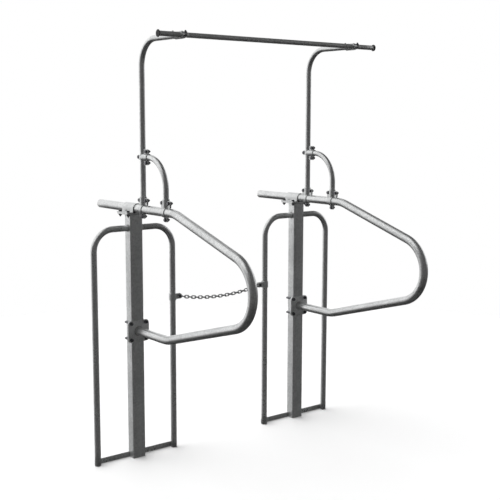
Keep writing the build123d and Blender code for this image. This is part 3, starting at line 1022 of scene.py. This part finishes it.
# %% Weld the hoops, bars, plates and caps
hoop_radius = size["hoop_od"] / 2
proud = 0.8 * MM
for unit, x in units:
    bar_low, bar_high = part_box(f"{unit}_foot_bar")
    beads = []
    for side in (-1, 1):
        centre = (x + side * (post_half + proud), 0, hoop_height)
        line = collar(centre, side * X, hoop_radius + proud, 120)
        beads.append(bead(line, side * X, 2.6 * MM))
        face = x + side * (post_half + 0.6 * MM)
        for y in (bar_low[1] - 0.2 * MM, bar_high[1] + 0.2 * MM):
            beads.append(bead(upright_joint(face, y), X, 2.0 * MM, closed=False))
        leg = x + side * (hoop_half - 0.55 * hoop_radius)
        line = upright_joint(leg, bar_low[1] - 1.2 * MM)
        beads.append(bead(line, X, 2.2 * MM, closed=False))
    line = collar((x, plate_front - proud, lower_height), -Y, divider_half + 0.9 * MM, 160)
    beads.append(bead(line, -Y, 2.9 * MM))
    outline = rounded_rectangle(2 * post_half + 1.4 * MM, 2 * post_high[1] + 1.4 * MM,
                                size["post_corner"], 8)
    corners = [Vector((x + px, py, post_high[2] - proud)) for px, py in outline]
    line = []
    for start, end in zip(corners, corners[1:] + corners[:1]):
        steps = max(1, round((end - start).length / (1.1 * MM)))
        line += [start.lerp(end, i / steps) for i in range(steps)]
    beads.append(bead(line, Z, 2.4 * MM))
    piece = make_piece(f"{unit}_weld_beads", beads, "weld")
    print(piece.name, len(piece.data.polygons), "faces")

# %% [markdown]
# ## The neck chain
#
# The chain hangs between the two bands in a shallow curve. Every link is one
# length of round wire, bent to a loop and closed by a butt weld in one side,
# where the wire is a touch thicker. Each link stands a quarter turn from the
# last. The links share their places with the model: an arc of the chain's
# length over the distance between its pins.

# %% Where the links are
def sag_angle(chord, length):
    """Half the angle of the arc whose length and chord are given, found by halving."""
    low, high = 1e-4, 1.5
    for _ in range(60):
        guess = (low + high) / 2
        if math.sin(guess) / guess > chord / length:
            low = guess
        else:
            high = guess
    return low


def link_places():
    """Return a place for each link along the hanging arc."""
    left = hoop_half + size["pin_reach"]
    right = pitch - left
    chord = right - left
    step = size["pitch"] - size["gap"]
    lead = size["pitch"] / 2 - size["small_bolt"] / 2 - size["gap"]
    count = 2 * math.ceil((chord + size["slack"] - 2 * lead) / (2 * step)) + 1
    length = 2 * lead + (count - 1) * step
    half = sag_angle(chord, length)
    radius = length / 2 / half
    centre = Vector(((left + right) / 2, 0, chain_height + radius * math.cos(half)))
    places = []
    for i in range(count):
        a = -half + (lead + i * step) / radius
        point = centre + Vector((math.sin(a), 0, -math.cos(a))) * radius
        ahead = Vector((math.cos(a), 0, math.sin(a)))
        facing = Y if i % 2 == 0 else Vector((-math.sin(a), 0, math.cos(a)))
        places.append(axes(point, ahead, facing))
    return places


places = link_places()
print("links", len(places), "lowest", round(min(place.translation.z for place in places), 3), "m")

# %% Bend the links and hang the chain
def link(place, side_steps=8, bend_steps=14, swell=0.13, swell_reach=1.6 * MM):
    """One link of round wire, with its butt weld in one side."""
    bend = (size["inside"] + size["wire"]) / 2
    straight = (size["pitch"] + size["wire"]) / 2 - bend
    line = []
    for way in (1, -1):
        for i in range(side_steps):
            line.append((way * (-straight + 2 * straight * i / side_steps), way * bend, way, 0.0))
        for i in range(bend_steps):
            a = math.pi / 2 - math.pi * i / bend_steps
            line.append((way * (straight + bend * math.cos(a)), way * bend * math.sin(a),
                         way * math.sin(a), -way * math.cos(a)))
    rings = []
    for px, py, wx, wy in line:
        bulge = 1.0 + swell * math.exp(-((px / swell_reach) ** 2)) * (py > 0)
        ring = circle(Vector((px, py, 0)), Z.cross(Vector((wx, wy, 0))), Z,
                      size["wire"] / 2 * bulge, 16)
        rings.append([place @ point for point in ring])
    return skin(rings, wrap=True)


skins = [link(place) for place in places]
piece = make_piece("neck_chain_links", skins, "chain_steel", ["neck_chain"])
for unit, x, side in (("left", hoop_half, 1), ("right", pitch - hoop_half, -1)):
    place = axes((x + side * size["pin_reach"], 0, chain_height), X, Y)
    skins = bolt(place, size["ear_grip"], "small_")
    make_piece(f"{unit}_chain_pin_bolt", skins, "zinc_fasteners", [f"{unit}_chain_pin"])
print(piece.name, len(piece.data.polygons), "faces")

# %% [markdown]
# ## Caps in the rail's ends
#
# A moulded cap has a domed face, a rolled rim that stands proud of the tube,
# and a plug that grips inside. It is a turned profile.

# %% Mould the caps
caps_low, caps_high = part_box("rail_end_caps")
rim = (caps_high[2] - caps_low[2]) / 2
lip, depth = size["lip"], size["plug"]
plug = size["rail_od"] / 2 - size["wall"] - size["fit"]
profile = [
    (-depth, plug - 1.5 * MM), (-depth + 3 * MM, plug), (0.0, plug),
    (0.05 * MM, rim - 0.8 * MM), (0.8 * MM, rim), (lip * 0.55, rim), (lip * 0.75, rim - 0.5 * MM),
    (lip * 0.88, rim - 1.5 * MM), (lip * 0.94, rim * 0.75), (lip * 0.98, rim * 0.45),
    (lip, rim * 0.15),
]
skins = [turned(axes(end, Y, side * X), profile, sides=48)
         for end, side in zip(rail_ends, (-1, 1))]
make_piece("moulded_rail_caps", skins, "black_plastic", ["rail_end_caps"])
print("cap radius", round(rim / MM, 2), "mm")

# %% Count the triangles shown, and finish
shown_meshes = [o for o in bpy.data.objects if o.type == "MESH" and not o.hide_render]
triangles = sum(len(face.vertices) - 2 for o in shown_meshes for face in o.data.polygons)
print("triangles", triangles)
